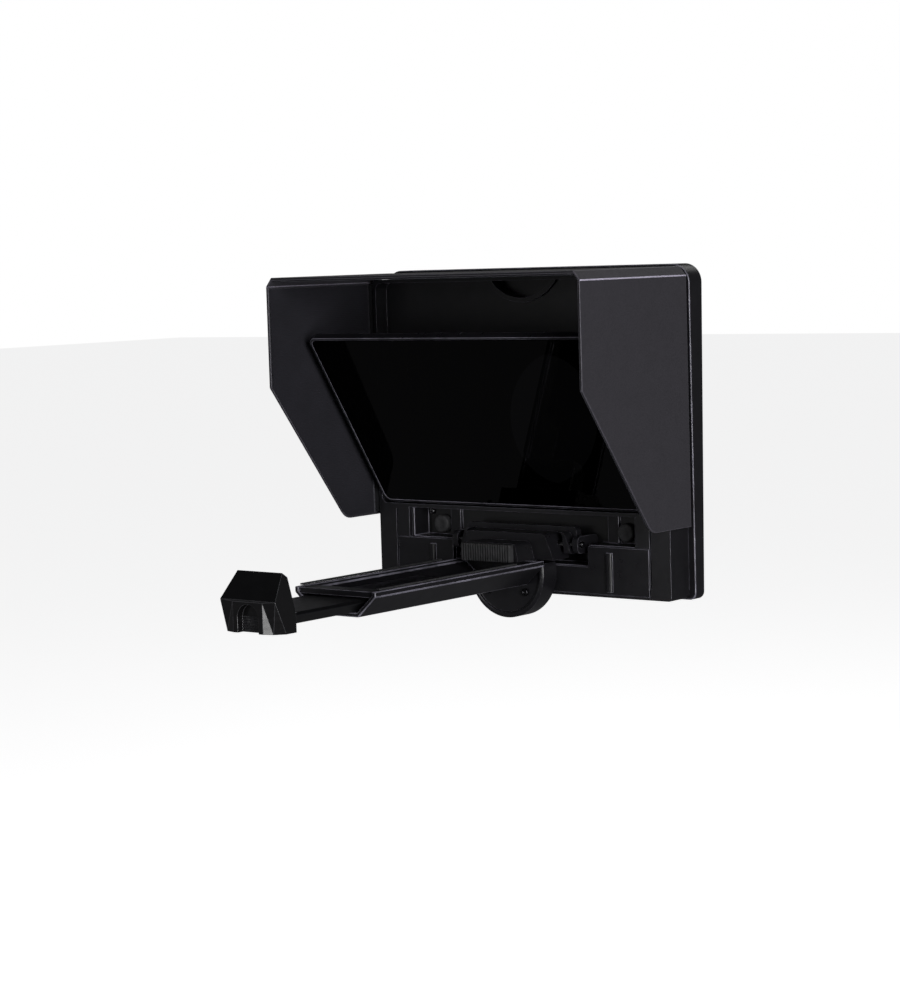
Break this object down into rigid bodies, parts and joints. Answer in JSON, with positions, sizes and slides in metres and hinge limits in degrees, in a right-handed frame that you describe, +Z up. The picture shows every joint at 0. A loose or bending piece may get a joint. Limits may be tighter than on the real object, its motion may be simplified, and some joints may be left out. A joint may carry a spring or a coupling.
{
  "type": "teleprompter",
  "caption": "Lens-mounted folding tablet teleprompter: leaning beam-splitter glass under a lined hood, with a fold-up arm and sliding clamp for the tablet.",
  "frame": {"origin": "centre of the lens ring's rear face, on the lens axis, where the camera lens carries the whole part", "axes": "+Y along the lens axis towards the camera, +Z up, +X to the right of someone reading the glass"},
  "size_m": [0.2154, 0.2733, 0.1953],
  "materials": {
    "housing_plastic": "fine-textured black",
    "fascia_plastic": "satin black",
    "hood_board": "pebbled dark grey facing over stiff board",
    "hood_lining": "ribbed dark blue-black cloth",
    "clamp_gloss": "polished black",
    "ring_metal": "black anodised",
    "screw_steel": "dark plated",
    "soft_rubber": "matt black",
    "beam_splitter": "half-mirror coated"
  },
  "bodies": {
    "housing": {"front_frame": "housing_plastic", "recess_tray": "housing_plastic", "window_sleeve": "housing_plastic", "lower_fascia": "fascia_plastic", "rear_shell": "housing_plastic", "shell_screw_lower_left": "screw_steel", "shell_screw_upper_left": "screw_steel", "shell_screw_lower_right": "screw_steel", "shell_screw_upper_right": "screw_steel", "port_collar": "housing_plastic", "lens_ring": "ring_metal", "light_seal": "hood_lining", "side_felt_left": "hood_lining", "side_felt_right": "hood_lining", "catch_post_left": "soft_rubber", "catch_post_right": "soft_rubber", "recess_screw_left": "screw_steel", "recess_screw_right": "screw_steel", "hood_magnet_lower_left": "screw_steel", "hood_magnet_upper_left": "screw_steel", "hood_magnet_lower_right": "screw_steel", "hood_magnet_upper_right": "screw_steel", "arm_hub": "fascia_plastic", "arm_ear_left": "fascia_plastic", "arm_ear_right": "fascia_plastic", "hub_screw_left": "ring_metal", "hub_screw_right": "ring_metal"},
    "lock_screw": {"lock_knob": "clamp_gloss"},
    "glass": {"glass_frame": "fascia_plastic", "beam_glass": "beam_splitter", "glass_pin_left": "screw_steel", "glass_pin_right": "screw_steel"},
    "hood": {"hood_top": "hood_board", "hood_top_lining": "hood_lining", "hood_corner_left": "hood_board", "hood_corner_right": "hood_board"},
    "hood_left": {"hood_side_left": "hood_board", "hood_lining_left": "hood_lining"},
    "hood_right": {"hood_side_right": "hood_board", "hood_lining_right": "hood_lining"},
    "arm": {"arm_channel": "housing_plastic", "slide_retainer": "fascia_plastic", "tablet_pad_left": "soft_rubber", "tablet_pad_right": "soft_rubber", "rear_stop": "fascia_plastic", "rear_stop_pad": "soft_rubber", "arm_pin": "screw_steel"},
    "clamp": {"clamp_slide": "ring_metal", "clamp_block": "clamp_gloss", "clamp_pad": "soft_rubber"}
  },
  "joints": [
    {"name": "arm_fold", "type": "hinge", "parent": "housing", "child": "arm", "pos_m": [0, -0.049, -0.067], "axis": [-1, 0, 0], "range_deg": [0, 90]},
    {"name": "clamp_slide_travel", "type": "slide", "parent": "arm", "child": "clamp", "axis": [0, -1, 0], "range_m": [-0.049, 0.028]},
    {"name": "glass_tilt", "type": "hinge", "parent": "housing", "child": "glass", "pos_m": [0, -0.0445, -0.0445], "axis": [-1, 0, 0], "range_deg": [0, 33.5]},
    {"name": "hood_lift", "type": "slide", "parent": "housing", "child": "hood", "axis": [0, 0, 1], "range_m": [0, 0.15]},
    {"name": "hood_left_swing", "type": "hinge", "parent": "hood", "child": "hood_left", "pos_m": [-0.1077, -0.084, 0.0801], "axis": [0, 1, 0], "range_deg": [0, 90]},
    {"name": "hood_right_swing", "type": "hinge", "parent": "hood", "child": "hood_right", "pos_m": [0.1077, -0.084, 0.0801], "axis": [0, -1, 0], "range_deg": [0, 90]},
    {"name": "lock_turn", "type": "hinge", "parent": "housing", "child": "lock_screw", "pos_m": [0, -0.01, 0], "axis": [0.6428, 0, 0.766], "continuous": true}
  ],
  "couplings": [
    {"joint": "glass_tilt", "follows": "arm_fold", "ratio": 0.37222},
    {"joint": "hood_lift", "follows": "arm_fold", "m_per_rad": 0.095492}
  ]
}
